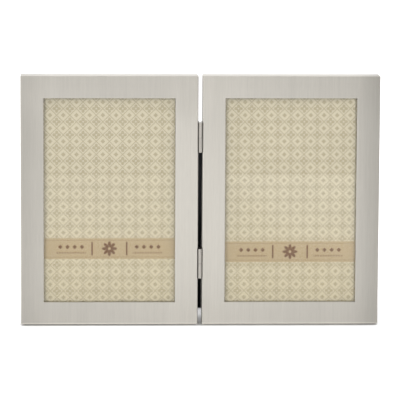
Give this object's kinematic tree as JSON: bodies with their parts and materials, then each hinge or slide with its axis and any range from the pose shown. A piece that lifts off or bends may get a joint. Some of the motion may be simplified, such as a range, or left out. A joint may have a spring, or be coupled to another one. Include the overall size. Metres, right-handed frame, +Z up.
{
  "type": "double photo frame",
  "caption": "Hinged double photo frame: brushed metal-faced panels with glass, prints and turn-button backs, joined by barrel hinges and propped by an easel leg.",
  "frame": {"origin": "middle of the bounding box on the table, with the frame open flat on its leg", "axes": "+X to the viewer's right, along the two panels; +Y away from the viewer, towards the leg; +Z up"},
  "size_m": [0.248, 0.0476, 0.1737],
  "materials": {
    "brushed_face": "silver plated sheet, brushed upright, satin",
    "core_board": "fibreboard painted matt black",
    "clear_glass": "clear, polished",
    "printed_paper": "matt printed insert, cream ground with a small tan figure and a tan band",
    "grey_card": "grey-brown filler card",
    "black_velvet": "fibreboard covered with black velvet paper",
    "hinge_steel": "nickel plated, satin",
    "easel_steel": "zinc plated, satin",
    "button_steel": "zinc plated, satin",
    "screw_steel": "zinc plated, satin"
  },
  "bodies": {
    "right_panel": {"right_face_shell": "brushed_face", "right_core_top_rail": "core_board", "right_core_bottom_rail": "core_board", "right_core_hinge_stile": "core_board", "right_core_outer_stile": "core_board", "right_glass": "clear_glass", "right_photo_insert": "printed_paper", "right_filler_card": "grey_card", "right_back_board": "black_velvet", "right_button_screws": "screw_steel", "upper_hinge_right_leaf": "hinge_steel", "upper_hinge_pin": "hinge_steel", "lower_hinge_right_leaf": "hinge_steel", "lower_hinge_pin": "hinge_steel", "right_hinge_screws": "hinge_steel", "easel_strap": "easel_steel", "easel_strap_screws": "easel_steel", "easel_pin": "easel_steel"},
    "left_panel": {"left_face_shell": "brushed_face", "left_core_top_rail": "core_board", "left_core_bottom_rail": "core_board", "left_core_hinge_stile": "core_board", "left_core_outer_stile": "core_board", "left_glass": "clear_glass", "left_photo_insert": "printed_paper", "left_filler_card": "grey_card", "left_back_board": "black_velvet", "left_button_screws": "screw_steel", "upper_hinge_left_leaf": "hinge_steel", "lower_hinge_left_leaf": "hinge_steel", "left_hinge_screws": "hinge_steel"},
    "leg": {"easel_leg_plate": "easel_steel", "easel_leg": "black_velvet", "easel_rivets": "easel_steel"},
    "right_turn_button_1_body": {"right_turn_button_1": "button_steel"},
    "right_turn_button_2_body": {"right_turn_button_2": "button_steel"},
    "right_turn_button_3_body": {"right_turn_button_3": "button_steel"},
    "right_turn_button_4_body": {"right_turn_button_4": "button_steel"},
    "left_turn_button_1_body": {"left_turn_button_1": "button_steel"},
    "left_turn_button_2_body": {"left_turn_button_2": "button_steel"},
    "left_turn_button_3_body": {"left_turn_button_3": "button_steel"},
    "left_turn_button_4_body": {"left_turn_button_4": "button_steel"}
  },
  "joints": [
    {"name": "panel_hinge", "type": "hinge", "parent": "right_panel", "child": "left_panel", "pos_m": [0, -0.01518, 0.08757], "axis": [0, 0.1045, 0.9945], "range_deg": [0, 180]},
    {"name": "leg_hinge", "type": "hinge", "parent": "right_panel", "child": "leg", "pos_m": [0.0064, 0.00177, 0.13112], "axis": [1, 0, 0], "range_deg": [-13.5, 0]},
    {"name": "right_button_1_turn", "type": "hinge", "parent": "right_panel", "child": "right_turn_button_1_body", "pos_m": [0.0347, 0.0039, 0.16764], "axis": [0, 0.9945, -0.1045], "range_deg": [0, 90]},
    {"name": "right_button_2_turn", "type": "hinge", "parent": "right_panel", "child": "right_turn_button_2_body", "pos_m": [0.0907, 0.0039, 0.16764], "axis": [0, 0.9945, -0.1045], "range_deg": [0, 90]},
    {"name": "right_button_3_turn", "type": "hinge", "parent": "right_panel", "child": "right_turn_button_3_body", "pos_m": [0.0347, -0.01317, 0.00529], "axis": [0, 0.9945, -0.1045], "range_deg": [0, 90]},
    {"name": "right_button_4_turn", "type": "hinge", "parent": "right_panel", "child": "right_turn_button_4_body", "pos_m": [0.0907, -0.01317, 0.00529], "axis": [0, 0.9945, -0.1045], "range_deg": [0, 90]},
    {"name": "left_button_1_turn", "type": "hinge", "parent": "left_panel", "child": "left_turn_button_1_body", "pos_m": [-0.0347, 0.0039, 0.16764], "axis": [0, 0.9945, -0.1045], "range_deg": [0, 90]},
    {"name": "left_button_2_turn", "type": "hinge", "parent": "left_panel", "child": "left_turn_button_2_body", "pos_m": [-0.0907, 0.0039, 0.16764], "axis": [0, 0.9945, -0.1045], "range_deg": [0, 90]},
    {"name": "left_button_3_turn", "type": "hinge", "parent": "left_panel", "child": "left_turn_button_3_body", "pos_m": [-0.0347, -0.01317, 0.00529], "axis": [0, 0.9945, -0.1045], "range_deg": [0, 90]},
    {"name": "left_button_4_turn", "type": "hinge", "parent": "left_panel", "child": "left_turn_button_4_body", "pos_m": [-0.0907, -0.01317, 0.00529], "axis": [0, 0.9945, -0.1045], "range_deg": [0, 90]}
  ]
}
